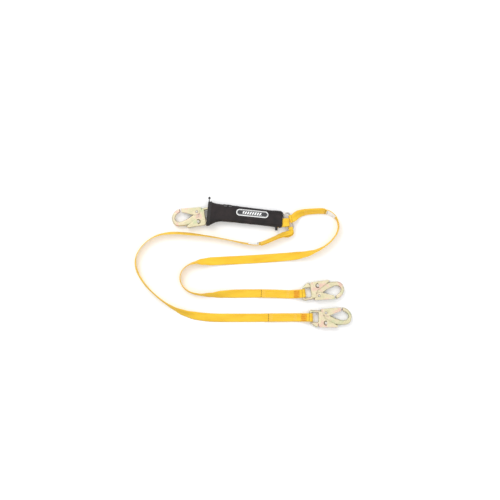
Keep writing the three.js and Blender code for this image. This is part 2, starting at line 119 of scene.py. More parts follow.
class Shader:
    """A material whose nodes are wired with short calls."""

    def __init__(self, name, roughness=0.5, metallic=0.0):
        self.material = bpy.data.materials.new(name)
        self.material.use_nodes = True
        self.tree = self.material.node_tree
        self.bsdf = self.tree.nodes["Principled BSDF"]
        self.bsdf.inputs["Roughness"].default_value = roughness
        self.bsdf.inputs["Metallic"].default_value = metallic

    def node(self, kind, **settings):
        made = self.tree.nodes.new(kind)
        for key, value in settings.items():
            setattr(made, key, value)
        return made

    def link(self, output, target):
        self.tree.links.new(output, target)

    def coordinates(self, kind="Object", scale=(1, 1, 1), turn=0):
        source = self.node("ShaderNodeTexCoord")
        mapping = self.node("ShaderNodeMapping")
        mapping.inputs["Scale"].default_value = scale
        mapping.inputs["Rotation"].default_value = (0, 0, turn)
        self.link(source.outputs[kind], mapping.inputs["Vector"])
        return mapping.outputs["Vector"]

    def noise(self, vector, scale, detail=3.0, roughness=0.55):
        made = self.node("ShaderNodeTexNoise")
        made.inputs["Scale"].default_value = scale
        made.inputs["Detail"].default_value = detail
        made.inputs["Roughness"].default_value = roughness
        self.link(vector, made.inputs["Vector"])
        return made.outputs["Fac"]

    def wave(self, vector, scale, direction="X", distortion=0.0):
        made = self.node("ShaderNodeTexWave", bands_direction=direction)
        made.inputs["Scale"].default_value = scale
        made.inputs["Distortion"].default_value = distortion
        self.link(vector, made.inputs["Vector"])
        return made.outputs["Fac"]

    def ramp(self, value, stops):
        made = self.node("ShaderNodeValToRGB")
        elements = made.color_ramp.elements
        while len(elements) < len(stops):
            elements.new(0.5)
        for element, (place, colour) in zip(elements, stops):
            element.position = place
            element.color = (*colour, 1)
        self.link(value, made.inputs["Fac"])
        return made.outputs["Color"]

    def feed(self, values, targets):
        """Links each output to its input, and sets an input to any plain value."""
        for value, target in zip(values, targets):
            if isinstance(value, bpy.types.NodeSocket):
                self.link(value, target)
            else:
                target.default_value = value

    def mix(self, share, first, second, blend="MIX"):
        made = self.node("ShaderNodeMix", data_type="RGBA", blend_type=blend)
        self.feed((share, first, second), (made.inputs[0], made.inputs[6], made.inputs[7]))
        return made.outputs[2]

    def math(self, operation, first, second):
        made = self.node("ShaderNodeMath", operation=operation)
        self.feed((first, second), made.inputs)
        return made.outputs[0]

    def stretch(self, value, low, high):
        made = self.node("ShaderNodeMapRange")
        made.inputs["To Min"].default_value = low
        made.inputs["To Max"].default_value = high
        self.link(value, made.inputs["Value"])
        return made.outputs["Result"]

    def colour(self, output):
        self.link(output, self.bsdf.inputs["Base Color"])

    def roughness(self, output):
        self.link(output, self.bsdf.inputs["Roughness"])

    def bump(self, height, strength, distance):
        made = self.node("ShaderNodeBump")
        made.inputs["Strength"].default_value = strength
        made.inputs["Distance"].default_value = distance
        self.link(height, made.inputs["Height"])
        self.link(made.outputs["Normal"], self.bsdf.inputs["Normal"])


# Scales of the wave textures.
WEBBING_RIBS = 175.076  # 1.8 mm apart
WEBBING_YARNS = 238.74  # 1.3 mm apart
CLOTH_WEAVE = 143.244  # 2.2 mm apart
BINDING_WEAVE = 222.824  # 1.4 mm apart


def floor_material():
    shader = Shader("floor", roughness=0.7)
    cloud = shader.noise(shader.coordinates(), 3.0)
    shader.colour(shader.ramp(cloud, [(0.3, (0.93, 0.93, 0.93)), (0.7, (0.95, 0.95, 0.95))]))
    return shader.material


def webbing_material(name, dark, mid, light):
    """Woven webbing: ribs across it, yarns along it, darker selvedges; u runs along in metres."""
    shader = Shader(name, roughness=0.78)
    shader.bsdf.inputs["Sheen Weight"].default_value = 0.08
    shader.bsdf.inputs["Sheen Roughness"].default_value = 0.5
    at = shader.coordinates("UV")
    along = shader.wave(at, WEBBING_RIBS, "X")
    yarns = shader.wave(at, WEBBING_YARNS, "Y", 0.4)
    weave = shader.math("MULTIPLY", along, yarns)
    patchy = shader.noise(shader.coordinates("UV", (14, 60, 1)), 1.0)
    base = shader.ramp(patchy, [(0.25, dark), (0.5, mid), (0.78, light)])
    threads = shader.ramp(weave, [(0.0, (0.80, 0.78, 0.74)), (0.5, (1, 1, 1))])
    shader.colour(shader.mix(0.65, base, threads, "MULTIPLY"))
    shader.roughness(shader.stretch(weave, 0.85, 0.66))
    shader.bump(weave, 0.55, 0.0004)
    return shader.material


def cloth_material(name, dark, light, roughness=0.85, weave=CLOTH_WEAVE):
    """Plain woven nylon, woven square to the pack, its colour broken up by noise patches of painted fold
    shade and random tone.
    """
    shader = Shader(name, roughness=roughness)
    shader.bsdf.inputs["Sheen Weight"].default_value = 0.07
    shader.bsdf.inputs["Sheen Roughness"].default_value = 0.4
    at = shader.coordinates()
    turned = shader.coordinates(turn=math.radians(PACK_TURN))
    warp = shader.wave(turned, weave, "X", 0.3)
    weft = shader.wave(turned, weave, "Y", 0.3)
    height = shader.math("MAXIMUM", warp, weft)
    cloud = shader.noise(at, 45.0, 5.0)
    # The noise patches between dark and light are partly painted shade of the cloth's folds and partly
    # random tone.
    base = shader.ramp(cloud, [(0.3, dark), (0.72, light)])
    threads = shader.ramp(height, [(0.2, (0.62, 0.62, 0.62)), (0.9, (1, 1, 1))])
    shader.colour(shader.mix(0.8, base, threads, "MULTIPLY"))
    shader.roughness(shader.stretch(cloud, roughness - 0.1, roughness + 0.08))
    shader.bump(height, 0.5, 0.0003)
    return shader.material


def zinc_material():
    """Yellow zinc plating: pale gold with pink and green tints, with painted shade in its joints and
    crevices, and scuffed.
    """
    shader = Shader("yellow_zinc", roughness=0.36, metallic=0.7)
    at = shader.coordinates()
    tint = shader.ramp(
        shader.noise(at, 34.0, 2.0, 0.6),
        [(0.26, (0.49, 0.53, 0.33)), (0.42, (0.59, 0.54, 0.35)), (0.54, (0.65, 0.58, 0.40)),
         (0.64, (0.67, 0.46, 0.38)), (0.78, (0.53, 0.52, 0.41))],
    )
    scuffs = shader.noise(shader.coordinates("Object", (1, 6, 1)), 260.0, 6.0, 0.7)
    shade = shader.ramp(scuffs, [(0.36, (0.60, 0.56, 0.46)), (0.52, (1, 1, 1))])
    worn = shader.mix(0.7, tint, shade, "MULTIPLY")
    # Painted shade: the plating is darkened where ambient occlusion finds crevices and joints between the
    # parts.
    painted_occlusion = shader.node("ShaderNodeAmbientOcclusion", samples=6)
    painted_occlusion.inputs["Distance"].default_value = 0.006
    crevice_shade = shader.ramp(painted_occlusion.outputs["AO"], [(0.25, (0.16, 0.13, 0.08)), (0.8, (1, 1, 1))])
    shader.colour(shader.mix(0.85, worn, crevice_shade, "MULTIPLY"))
    shader.roughness(shader.stretch(scuffs, 0.5, 0.26))
    shader.bump(shader.noise(at, 900.0, 4.0), 0.15, 0.0002)
    return shader.material


def wire_material(name, dark, light, roughness=0.3):
    shader = Shader(name, roughness=roughness, metallic=0.95)
    at = shader.coordinates()
    grain = shader.noise(at, 420.0, 5.0, 0.65)
    shader.colour(shader.ramp(grain, [(0.3, dark), (0.7, light)]))
    shader.roughness(shader.stretch(grain, roughness + 0.15, roughness - 0.08))
    shader.bump(grain, 0.1, 0.0001)
    return shader.material


def thread_material(name, dark, light):
    shader = Shader(name, roughness=0.6)
    at = shader.coordinates()
    shader.colour(shader.ramp(shader.noise(at, 700.0, 3.0), [(0.3, dark), (0.7, light)]))
    shader.bump(shader.noise(at, 2600.0, 2.0), 0.4, 0.0001)
    return shader.material


def label_material(name):
    """Smooth coated label cloth, slightly soiled towards its edges."""
    shader = Shader(name, roughness=0.5)
    at = shader.coordinates()
    soil = shader.noise(at, 60.0, 6.0, 0.7)
    shader.colour(shader.ramp(
        soil, [(0.25, (0.80, 0.79, 0.76)), (0.5, (0.88, 0.88, 0.87)), (0.8, (0.92, 0.92, 0.91))]
    ))
    weave = shader.wave(at, 260.0, "X")
    shader.roughness(shader.stretch(soil, 0.42, 0.58))
    shader.bump(weave, 0.15, 0.0001)
    return shader.material


MATERIALS = {
    "yellow": webbing_material(
        "yellow_webbing", (0.78, 0.44, 0.018), (0.90, 0.55, 0.026), (0.95, 0.63, 0.045)
    ),
    "black": cloth_material("black_nylon", (0.006, 0.0042, 0.0042), (0.029, 0.0195, 0.0195)),
    "black_web": cloth_material(
        "black_binding", (0.015, 0.013, 0.013), (0.035, 0.03, 0.03), 0.8, BINDING_WEAVE
    ),
    "zinc": zinc_material(),
    "ring": wire_material("ring_steel", (0.34, 0.32, 0.29), (0.62, 0.59, 0.54)),
    # Painted shade: near-black steel for the band that stands in for the shade inside each lever slot.
    "recess": wire_material("painted_slot_shade", (0.07, 0.055, 0.035), (0.16, 0.13, 0.09), 0.5),
    "spring": wire_material("spring_wire", (0.30, 0.30, 0.31), (0.55, 0.55, 0.57), 0.25),
    "thread": thread_material("yellow_thread", (0.88, 0.56, 0.08), (0.96, 0.70, 0.18)),
    "orange_thread": thread_material("orange_thread", (0.66, 0.25, 0.008), (0.82, 0.36, 0.014)),
    "brown_thread": thread_material("brown_thread", (0.13, 0.06, 0.012), (0.26, 0.12, 0.02)),
    "black_thread": thread_material("black_thread", (0.012, 0.011, 0.011), (0.045, 0.04, 0.04)),
    "grey_thread": thread_material("grey_thread", (0.16, 0.16, 0.16), (0.3, 0.3, 0.3)),
    "cord": thread_material("black_cord", (0.012, 0.011, 0.011), (0.04, 0.036, 0.035)),
    "label": label_material("label_cloth"),
    "print": thread_material("label_motif", (0.02, 0.02, 0.022), (0.05, 0.05, 0.055)),
}


# ---- Webbing strips ----

SECTION_STEPS = 10  # across a webbing's face


class Route:
    """A centripetal Catmull-Rom curve through points, sampled by distance."""

    def __init__(self, points):
        self.points = points
        self.table = []
        for k in range(len(points) - 1):
            for i in range(24):
                self.table.append(k + i / 24)
        self.table.append(len(points) - 1)
        self.distances = [0.0]
        places = [self.at(t)[0] for t in self.table]
        for before, after in zip(places, places[1:]):
            self.distances.append(self.distances[-1] + (after - before).length)
        self.length = self.distances[-1]

    def at(self, t):
        """The point and the unit tangent at t, which counts stations."""
        points = self.points
        k = min(int(t), len(points) - 2)
        share = t - k
        p1, p2 = points[k], points[k + 1]
        p0 = points[k - 1] if k > 0 else 2 * p1 - p2
        p3 = points[k + 2] if k + 2 < len(points) else 2 * p2 - p1
        d0, d1, d2 = (math.sqrt((b - a).length) for a, b in ((p0, p1), (p1, p2), (p2, p3)))
        out = ((p1 - p0) / d0 - (p2 - p0) / (d0 + d1) + (p2 - p1) / d1) * d1
        into = ((p2 - p1) / d1 - (p3 - p1) / (d1 + d2) + (p3 - p2) / d2) * d1
        c2 = -3 * p1 + 3 * p2 - 2 * out - into
        c3 = 2 * p1 - 2 * p2 + out + into
        point = p1 + out * share + c2 * share**2 + c3 * share**3
        tangent = out + 2 * c2 * share + 3 * c3 * share**2
        return point, tangent.normalized()

    def station(self, distance):
        """The station count t at a distance from the start."""
        distance = min(max(distance, 0.0), self.length)
        low, high = 0, len(self.distances) - 1
        while high - low > 1:
            middle = (low + high) // 2
            if self.distances[middle] <= distance:
                low = middle
            else:
                high = middle
        gap = max(self.distances[high] - self.distances[low], 1e-9)
        share = (distance - self.distances[low]) / gap
        return self.table[low] + share * (self.table[high] - self.table[low])


def smooth(share):
    return share * share * (3 - 2 * share)


class Strip:
    """Webbing through stations of (middle, direction of its width, width)."""

    def __init__(self, stations):
        self.stations = stations
        self.route = Route([centre for centre, _, _ in stations])
        self.length = self.route.length

    def frame_at(self, distance):
        t = self.route.station(distance)
        k = min(int(t), len(self.stations) - 2)
        share = t - k
        centre, tangent = self.route.at(t)
        across = self.stations[k][1].lerp(self.stations[k + 1][1], smooth(share))
        across = (across - tangent * tangent.dot(across)).normalized()
        width = self.stations[k][2] + share * (self.stations[k + 1][2] - self.stations[k][2])
        return centre, across, tangent.cross(across), width


def leg_strip(route):
    """A strip from a route."""
    plan = Route([Vector((x, y, 0)) * MM for x, y, *_ in route])
    stations = []
    for i, (x, y, degrees, low, *narrow) in enumerate(route):
        width = narrow[0] * MM if narrow else WEB_WIDTH
        roll = math.radians(degrees)
        level = UP.cross(plan.at(i)[1])
        half = width / 2 * math.sin(roll) + WEB_THICK / 2 * math.cos(roll)
        across = level * math.cos(roll) + UP * math.sin(roll)
        stations.append((Vector((x * MM, y * MM, low * MM + half)), across, width))
    return Strip(stations)


def round_bar(bar, z, direction, radius, width):
    """Stations round a bar, from just before its top to its underside."""
    across = UP.cross(direction)
    middle = radius + WEB_THICK / 2
    places = [(-2 * MM, middle)]
    for angle in range(90, -91, -15):
        turn = math.radians(angle)
        places.append((middle * math.cos(turn), middle * math.sin(turn)))
    return [
        (Vector((*bar, z + height)) + direction * s, across, width) for s, height in places
    ]


def underside(strip, at_start, radius, tail):
    """Stations of the tail under one end of a strip, closing up to it over the throat."""
    apart = 2 * radius + WEB_THICK
    sewn = WEB_THICK + (0.25 * MM if at_start else 0.15 * MM)
    stations = []
    run = 8 * MM
    while run <= tail:
        centre, across, up, width = strip.frame_at(run if at_start else strip.length - run)
        share = min(run / THROAT, 1)
        offset = apart + (sewn - apart) * share
        stations.append((centre - up * offset, across * (-1 if at_start else 1), width))
        run += 9 * MM
    return stations


def steps(start, end, count):
    return [start + (end - start) * i / count for i in range(count + 1)]


def heading(degrees):
    return Vector((math.cos(math.radians(degrees)), math.sin(math.radians(degrees)), 0))


def web_section(width, thick):
    """Points round a webbing's section, with full, slightly thicker selvedges, as (across, up)."""
    top = []
    for i in range(SECTION_STEPS + 1):
        share = i / SECTION_STEPS * 2 - 1
        edge = abs(share)
        rounding = math.sqrt(max(0.0, 1 - max(0.0, (edge - 0.94) / 0.06) ** 2))
        selvedge = 1.0 + 0.10 * math.exp(-(((edge - 0.9) / 0.06) ** 2))
        top.append((share * width / 2, thick / 2 * selvedge * max(rounding, 0.28)))
    return top + [(across, -up) for across, up in reversed(top)]


def link_mesh(name, mesh, material):
    for face in mesh.polygons:
        face.use_smooth = True
    mesh.materials.append(material)
    piece = bpy.data.objects.new(name, mesh)
    bpy.context.collection.objects.link(piece)
    return piece


def facing_out(work, mesh):
    """The mesh, filled from a bmesh whose faces are turned outwards."""
    bmesh.ops.recalc_face_normals(work, faces=work.faces)
    work.to_mesh(mesh)
    work.free()
    return mesh


def grid_mesh(name, rows, capped=False):
    """A mesh through rows of points, closed round each row, and with flat ends if it is capped."""
    size = len(rows[0])
    faces = []
    for r in range(len(rows) - 1):
        for c in range(size):
            d = (c + 1) % size
            faces.append((r * size + c, r * size + d, (r + 1) * size + d, (r + 1) * size + c))
    if capped:
        faces.append(tuple(range(size))[::-1])
        faces.append(tuple(range((len(rows) - 1) * size, len(rows) * size)))
    mesh = bpy.data.meshes.new(name)
    mesh.from_pydata([tuple(p) for row in rows for p in row], [], faces)
    work = bmesh.new()
    work.from_mesh(mesh)
    return facing_out(work, mesh)


def sweep(name, strip, start, end, step, material, thick=WEB_THICK, lift=0.0, width_share=1.0):
    """A band of webbing along a strip; its UVs are metres along and across it."""
    count = max(4, round((end - start) / step))
    places = steps(start, end, count)
    rows = []
    for distance in places:
        centre, across, up, width = strip.frame_at(distance)
        section = web_section(width * width_share, thick)
        rows.append([centre + across * a + up * (b + lift) for a, b in section])
    mesh = grid_mesh(name, rows, True)
    layer = mesh.uv_layers.new(name="along_and_across")
    section = web_section(WEB_WIDTH, thick)
    for loop in mesh.loops:
        row, column = divmod(loop.vertex_index, len(section))
        layer.data[loop.index].uv = (places[row], section[column][0])
    return link_mesh(name, mesh, material)


# A stitch from end to end: its share of the way, its height and its girth, in radii.
THREAD_FORM = [(0.0, -0.6, 0.5), (0.2, 0.5, 0.95), (0.5, 0.8, 1.0), (0.8, 0.5, 0.95), (1.0, -0.6, 0.5)]


def stitches(name, rows, material, radius=0.35 * MM):
    """One mesh of many short threads; each row is (start, end, outward)."""
    work = bmesh.new()
    for start, end, out in rows:
        along = end - start
        side = along.cross(out).normalized() * radius
        rise = out.normalized() * radius
        rings = []
        for share, height, girth in THREAD_FORM:
            middle = start + along * share + rise * height
            ring = []
            for k in range(6):
                angle = k * math.pi / 3
                out_by = (side * math.cos(angle) + rise * math.sin(angle)) * girth
                ring.append(work.verts.new(middle + out_by))
            rings.append(ring)
        for before, after in zip(rings, rings[1:]):
            for k in range(6):
                j = (k + 1) % 6
                work.faces.new((before[k], before[j], after[j], after[k]))
        work.faces.new(rings[0][::-1])
        work.faces.new(rings[-1])
    return link_mesh(name, facing_out(work, bpy.data.meshes.new(name)), material)


# ---- Legs ----

FLAT = 1
DOUBLED = 3.5  # height of a strap that lies on its own tail
OVER_EYE = 16.3
OVER_RING = 16.4
OVER_CORNER = 19.2
NARROW = 13  # webbing bunched where it goes round the ring's end
BROAD = 24  # and where it goes round the ring's side
STITCH = 3.0 * MM
STITCH_PITCH = 3.9 * MM

# Each leg's route in millimetres: x, y, roll in degrees (0 flat, 90 on edge), the height of the
# lower edge, and the width where it is bunched.
LOWER_LEG_ROUTE = [
    (87.7, 97.45, 0, OVER_CORNER, NARROW), (88.5, 94, 4, OVER_CORNER - 0.6, 12.5),
    (85, 90.6, 14, 16.6, 14), (78, 88.6, 34, 11, 17.5), (67, 86.2, 50, 5.5, 22), (55, 82.2, 60, 3.5),
    (38, 74.8, 66, 3), (14, 64.2, 66, 3), (-7, 56.8, 66, 2.8),
    (-24, 55, 72, 1.5), (-51, 57.4, 78, FLAT), (-103, 68, 84, FLAT), (-163, 79, 80, FLAT),
    (-227, 87, 70, FLAT), (-279, 89, 70, FLAT), (-314, 84, 78, FLAT), (-344, 70, 84, FLAT),
    (-369, 47, 84, FLAT), (-384, 21, 82, FLAT), (-387, -2, 78, FLAT), (-382, -27, 76, FLAT),
    (-362, -62, 78, FLAT), (-335, -92, 82, FLAT), (-300, -121, 80, FLAT), (-270, -140, 68, FLAT),
    (-236, -155, 45, FLAT), (-197, -164, 18, FLAT), (-150, -168.5, 2, FLAT), (-99, -169, 0, FLAT),
    (-20, -169, 0, FLAT), (0, -168.8, 0, 0.8), (16, -168.6, 0, DOUBLED), (60, -168.3, 0, DOUBLED),
    (104, -168, 0, DOUBLED), (116, -168, 0, 6), (127, -168, 0, 12.6), (135, -168, 0, OVER_EYE),
    (142.6, -168, 0, OVER_EYE),
]
UPPER_LEG_ROUTE = [
    (89.4, 132.85, 0, OVER_RING, BROAD), (95.4, 134.7, 6, OVER_RING - 2, 21.5),
    (102, 140.3, 22, 9, 22.5), (109, 145.2, 36, 5.5, 24), (120, 149.8, 46, 4),
    (138, 152.9, 56, 3.2), (160, 154.6, 58, 3.2), (182, 155.2, 58, 3.2),
    (197, 153.2, 62, 2.5), (208, 149, 68, 1.5), (220, 140.6, 76, FLAT), (229, 126, 85, FLAT),
    (232, 108, 85, FLAT), (227, 89, 85, FLAT), (214, 70, 85, FLAT), (193, 51, 82, FLAT),
    (166, 36, 70, FLAT), (134, 25.5, 45, FLAT), (94, 19, 15, FLAT), (50, 15, 2, FLAT),
    (9, 12, 0, FLAT), (-77, 7, 0, FLAT), (-150, 3.5, 12, FLAT), (-182, 1.5, 40, FLAT),
    (-207, -1.5, 72, FLAT), (-229, -10, 85, FLAT), (-246, -27, 85, FLAT), (-251.5, -50, 85, FLAT),
    (-243, -73, 85, FLAT), (-223, -90, 84, FLAT), (-193, -98.5, 78, FLAT), (-158, -99.5, 60, FLAT),
    (-118, -97, 30, FLAT), (-72, -95.5, 6, FLAT), (-40, -95, 0, FLAT), (-24, -95, 0, 0.8),
    (-9, -95, 0, DOUBLED), (40, -96, 0, DOUBLED), (82, -97.6, 0, DOUBLED), (94, -97.1, 0, 6),
    (105, -96.7, 0, 12.6), (113, -96, 0, OVER_EYE), (120.6, -95.2, 0, OVER_EYE),
]


def sewn_rows(strip, start, end, offsets, up_by):
    """Long rows of stitches on one face of a strip, between two distances."""
    rows = []
    for across_by in offsets:
        at = start
        while at + STITCH <= end:
            ends = []
            for distance in (at, at + STITCH):
                centre, across, up, _ = strip.frame_at(distance)
                ends.append(centre + across * across_by + up * up_by)
            rows.append((ends[0], ends[1], up * math.copysign(1, up_by)))
            at += STITCH_PITCH
    return rows


def bar_tack(strip, at, half_width, up_by, lines=6, pitch=1.5 * MM):
    """A dense zigzag of stitches across a strip."""
    rows = []
    for i in range(lines):
        centre, across, up, _ = strip.frame_at(at + i * pitch)
        lean, _, _, _ = strip.frame_at(at + (i + 0.8) * pitch)
        pieces = 4
        for k in range(pieces):
            low = -half_width + 2 * half_width * k / pieces
            high = low + 2 * half_width / pieces * 0.94
            near = centre.lerp(lean, k / pieces) + across * low + up * up_by
            far = centre.lerp(lean, (k + 1) / pieces) + across * high + up * up_by
            rows.append((near, far, up * math.copysign(1, up_by)))
    return rows


def sew_down(name, strip, start, end):
    """The pattern that joins a strap to its tail: long rows with a bar tack at each end."""
    face = WEB_THICK / 2
    rows = sewn_rows(strip, start, end, (-9.5 * MM, -3.2 * MM, 3.2 * MM, 9.5 * MM), face)
    for at in (start, end - 8 * MM):
        rows += bar_tack(strip, at, 9.8 * MM, face)
    return stitches(name, rows, MATERIALS["thread"], 0.3 * MM)


def make_leg(name, route, ring_bar, ring_direction, ring_radius, ring_width, hook_bar, hook_direction):
    """One leg: its strap, both folded ends, its tag and its stitching."""
    yellow = MATERIALS["yellow"]
    strap = leg_strip(route)
    ring_end = Strip(
        round_bar(ring_bar, RING_Z, heading(ring_direction), ring_radius, ring_width * MM)
        + underside(strap, True, ring_radius, RING_TAIL)
    )
    hook_end = Strip(
        round_bar(hook_bar, HOOK_Z, heading(hook_direction), LOOP_R, WEB_WIDTH)
        + underside(strap, False, LOOP_R, HOOK_TAIL)
    )
    piece = sweep(f"{name}_leg_web", strap, 0, strap.length, 3 * MM, yellow)
    ring_fold = sweep(f"{name}_leg_ring_fold", ring_end, 0, ring_end.length, 1.5 * MM, yellow)
    hook_fold = sweep(f"{name}_leg_hook_fold", hook_end, 0, hook_end.length, 1.5 * MM, yellow)
    tag_start = RING_TAIL + 4 * MM
    tag_end = tag_start + 32 * MM
    tag = sweep(
        f"{name}_leg_id_tag", strap, tag_start, tag_end, 2 * MM, MATERIALS["label"],
        thick=0.7 * MM, lift=WEB_THICK / 2 + 0.5 * MM, width_share=0.86,
    )
    hook_seam = sew_down(
        f"{name}_leg_hook_stitching", strap, strap.length - HOOK_TAIL + 4 * MM,
        strap.length - 42 * MM,
    )
    ring_seam = sew_down(f"{name}_leg_ring_stitching", strap, 44 * MM, RING_TAIL - 3 * MM)
    tail_rows = bar_tack(strap, RING_TAIL - 1 * MM, 11.6 * MM, WEB_THICK / 2, 2, 0.8 * MM)
    tail_rows += bar_tack(strap, strap.length - HOOK_TAIL, 11.6 * MM, WEB_THICK / 2, 2, 0.8 * MM)
    tail_seam = stitches(f"{name}_leg_tail_tacks", tail_rows, MATERIALS["brown_thread"], 0.4 * MM)
    neck_rows = []
    for i in range(3):
        neck_rows += bar_tack(strap, strap.length - (27 - 5.2 * i) * MM, 11 * MM, WEB_THICK / 2)
    neck_seam = stitches(f"{name}_leg_neck_tacks", neck_rows, MATERIALS["orange_thread"], 0.45 * MM)
    tag_seam = stitches(
        f"{name}_leg_tag_stitching",
        bar_tack(strap, tag_start + 1.5 * MM, 9 * MM, WEB_THICK / 2 + 0.9 * MM, 2),
        MATERIALS["black_thread"],
    )
    on_it = [ring_fold, hook_fold, tag, hook_seam, ring_seam, tail_seam, neck_seam, tag_seam]
    for made in (piece, *on_it):
        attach(made, ROOT)
    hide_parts(f"{name}_leg_strap")
    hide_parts(f"{name}_leg_ring_end")
    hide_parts(f"{name}_leg_hook_end")
    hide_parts(f"{name}_leg_tag")
    line = [strap.frame_at(strap.length * i / 120)[0] for i in range(121)]


# ---- Pieces refined from their CAD nodes ----

def hook_place(x, y, z, yaw, rolled):
    """A hook's frame: rolled over about its own x if its gate is on the other side, then turned."""
    turn = Matrix.Rotation(math.radians(yaw), 4, "Z")
    roll = Matrix.Rotation(math.pi if rolled else 0, 4, "X")
    return Matrix.Translation((x, y, z)) @ turn @ roll


LEVER_PIVOT = Vector((52, -17, 0)) * MM  # in the hook's frame
LEVER_FACE = 8.7 * MM  # from the hook's middle plane
SLOT_NEAR = 5.1 * MM  # the pressed slot's inner radius about the rivet
SLOT_FAR = 7.3 * MM  # and its outer one
HOOK_PLACES = {
    "lower_hook": hook_place(0.141, -0.168, HOOK_Z, 0, False),
    "upper_hook": hook_place(0.119, -0.0955, HOOK_Z, 8, True),
    "harness_hook": hook_place(-0.147, 0.1486, HARNESS_HOOK_Z, 189, True),
}


def refined(node, name, material, body, voxel, passes):
    """A smooth piece in a CAD node's place: its form remeshed finely and relaxed."""
    piece = bpy.data.objects.new(name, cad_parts[node].data.copy())
    bpy.context.collection.objects.link(piece)
    applied(piece, [
        ("REMESH", {"mode": "VOXEL", "voxel_size": voxel}),
        ("SMOOTH", {"factor": 0.5, "iterations": passes}),
    ])
    piece.data.materials.clear()
    piece.data.materials.append(material)
    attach(piece, body)
    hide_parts(node)


def add_slot_shade(prefix):
    """A dark band of painted shade for the curved slot that is pressed into each cheek of the lock lever,
    round its rivet.
    """
    for side, face in ((-1, "low"), (1, "top")):
        inside, proud = side * (LEVER_FACE - 0.3 * MM), side * (LEVER_FACE + 0.25 * MM)
        section = [(SLOT_NEAR, inside), (SLOT_FAR, inside), (SLOT_FAR, proud), (SLOT_NEAR, proud)]
        rows = []
        for degrees in steps(60, 290, 24):
            away = heading(degrees)
            rows.append([HOOK_PLACES[prefix] @ (LEVER_PIVOT + away * r + UP * z) for r, z in section])
        name = f"{prefix}_lever_slot_shade_{face}"
        painted_slot_shade = link_mesh(name, grid_mesh(name, rows, True), MATERIALS["recess"])
        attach(painted_slot_shade, f"{prefix}_lever")


def make_hook(prefix):
    """The forged body, the two sheet-metal channels, the rivets and the springs of one hook."""
    zinc, bright = MATERIALS["zinc"], MATERIALS["ring"]
    gate, lever = f"{prefix}_gate", f"{prefix}_lever"
    for node, form, material, body, voxel, passes in (
        ("body", "forging", zinc, prefix, 0.8, 5),
        ("gate", "gate_channel", zinc, gate, 0.5, 3),
        ("lock_lever", "lever_channel", zinc, lever, 0.55, 3),
        ("gate_rivet", "gate_rivet_domed", bright, prefix, 0.35, 3),
        ("lever_rivet", "lever_rivet_domed", bright, prefix, 0.35, 3),
    ):
        name = f"{prefix}_{form}"
        refined(f"{prefix}_{node}", name, material, body, voxel * MM, passes)
    add_slot_shade(prefix)
    for coil in ("gate_spring", "lever_spring"):
        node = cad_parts[f"{prefix}_{coil}"]
        node.data.materials.clear()
        node.data.materials.append(MATERIALS["spring"])


# ---- Pack ----
# The pack's own frame: x runs along it from the harness end, y across it, z up.

# Sleeve sections in millimetres: x, distance of the upper and of the lower long edge, bottom, top.
COVER_SECTIONS = [
    (2, 34, 39.2, 2.4, 35.6), (13, 34.4, 38.4, 2.4, 35.4), (18, 32.5, 34, 0, 32), (30, 31.5, 25, 0, 29),
    (46, 32, 21.5, 0, 28), (68, 31.6, 21.5, 0, 28), (90, 31, 22, 0, 28), (111, 30, 24.5, 0, 28),
    (130, 29, 25, 0, 28), (150, 28.2, 24.5, 0, 28), (172, 27, 24, 0, 27.5), (194, 26.6, 24, 0, 26),
    (216, 29, 26.5, 0, 25), (226, 28, 26, 0, 25), (232, 24, 22.4, 0, 24),
]
PACK_PLACE = Matrix.Translation((-0.170, 0.151, 0)) @ Matrix.Rotation(math.radians(-PACK_TURN), 4, "Z")
SLEEVE_START = 0.002
SLEEVE_END = 0.232
SQUARENESS = 0.42  # of the sleeve's cross-section: 1 is an ellipse
CLOTH_THICK = 0.9 * MM
SETTLE_FRAMES = 20
MOST_SETTLED = 2.2 * MM  # how far a point of the cloth may move
CORD_SIDES = 12


def between(table, x):
    """The table's row at x, blended smoothly between its rows."""
    x = min(max(x / MM, table[0][0]), table[-1][0])
    k = next(i for i in range(1, len(table)) if x <= table[i][0])
    before, after = table[k - 1], table[k]
    share = smooth((x - before[0]) / (after[0] - before[0]))
    return [(a + (b - a) * share) * MM for a, b in zip(before[1:], after[1:])]


def sleeve_point(x, angle, out=0.0):
    """A point of the sleeve's form: angle 0 faces its upper long edge, 90 degrees faces up."""
    upper, lower, bottom, top = between(COVER_SECTIONS, x)

    def rounded(value):
        return math.copysign(abs(value) ** SQUARENESS, value)

    y = (upper - lower) / 2 + ((upper + lower) / 2 + out) * rounded(math.cos(angle))
    z = (bottom + top) / 2 + ((top - bottom) / 2 + out) * rounded(math.sin(angle))
    return Vector((x, y, z))


def slack(x, angle):
    """How far the cloth stands in or out of its form: folds, gathers and the pack's edges."""
    around = Vector((math.cos(angle), math.sin(angle), 0))
    near_hem = math.exp(-(((x - 0.026) / 0.014) ** 2))
    near_end = math.exp(-(((x - 0.228) / 0.012) ** 2))
    long_folds = noise.noise(Vector((x * 22, around.x * 2.4, around.y * 2.4)))
    lean_folds = noise.noise(Vector((x * 60 + around.x * 5, around.x * 3.1, around.y * 3.1 + 7)))
    fine = noise.noise(Vector((x * 150, around.x * 9, around.y * 9 + 3)))
    gathers = math.sin(angle * 17 + 2.2 * long_folds) * (0.7 * near_hem + 0.45 * near_end)
    held_open = math.exp(-((x / 0.022) ** 4))
    folds = 1.5 * long_folds + 1.5 * lean_folds + 0.5 * fine
    return MM * (folds * (1 - 0.95 * held_open) + gathers)


def applied(piece, modifiers):
    """The piece with its modifiers made part of its mesh; each is (type, settings)."""
    for kind, settings in modifiers:
        modifier = piece.modifiers.new(kind.lower(), kind)
        for key, value in settings.items():
            setattr(modifier, key, value)
    graph = bpy.context.evaluated_depsgraph_get()
    mesh = bpy.data.meshes.new_from_object(piece.evaluated_get(graph))
    piece.modifiers.clear()
    piece.data = mesh
    for face in mesh.polygons:
        face.use_smooth = True
    return piece


